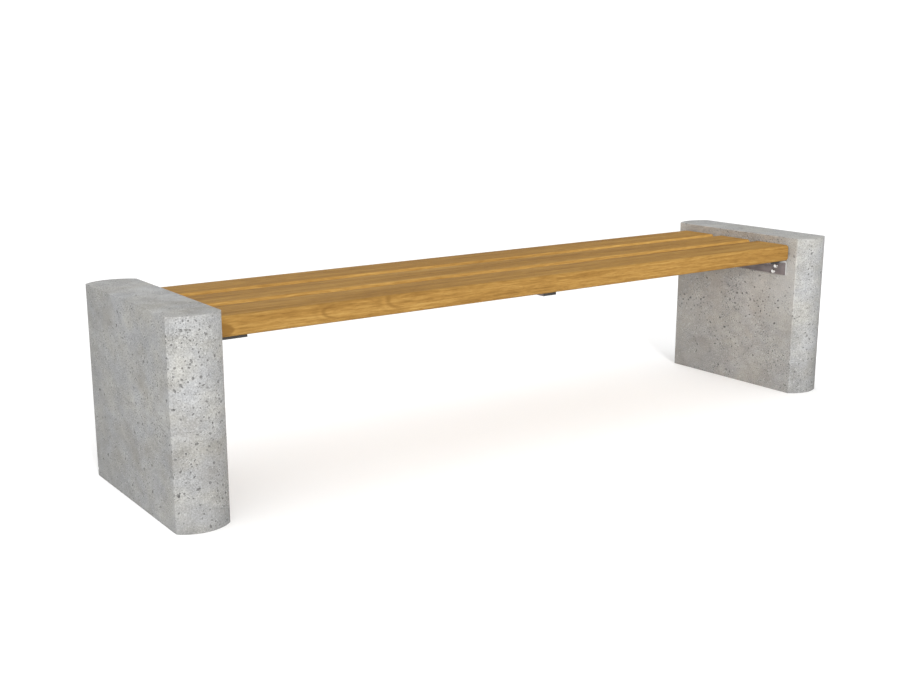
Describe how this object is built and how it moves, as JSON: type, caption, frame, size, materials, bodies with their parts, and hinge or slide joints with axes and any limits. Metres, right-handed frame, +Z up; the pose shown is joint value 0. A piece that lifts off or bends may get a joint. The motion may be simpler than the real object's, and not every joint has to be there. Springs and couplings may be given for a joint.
{
  "type": "backless bench",
  "caption": "Backless bench: timber slats on steel brackets between two concrete end blocks with bulged front and back ends.",
  "frame": {"origin": "on the ground, under the middle of the seat", "axes": "+X along the bench, -Y towards its front, +Z up"},
  "size_m": [2, 0.5, 0.45],
  "materials": {
    "concrete": "matte",
    "timber": "satin",
    "bracket_steel": "satin",
    "stainless": "satin",
    "reinforcing_steel": "matte"
  },
  "bodies": {
    "root": {"concrete_end_left": "concrete", "concrete_end_right": "concrete", "seat_slat_front": "timber", "seat_slat_middle": "timber", "seat_slat_back": "timber", "end_bracket_left": "bracket_steel", "end_bracket_right": "bracket_steel", "centre_bar": "bracket_steel", "bracket_bolts_left": "stainless", "bracket_bolts_right": "stainless", "bracket_washers_left": "stainless", "bracket_washers_right": "stainless", "bracket_sleeves_left": "stainless", "bracket_sleeves_right": "stainless", "ground_sleeves_left": "stainless", "ground_sleeves_right": "stainless", "reinforcement_left": "reinforcing_steel", "reinforcement_right": "reinforcing_steel", "slat_screws_left": "stainless", "slat_screws_centre": "stainless", "slat_screws_right": "stainless", "slat_washers_left": "stainless", "slat_washers_centre": "stainless", "slat_washers_right": "stainless"}
  },
  "joints": []
}
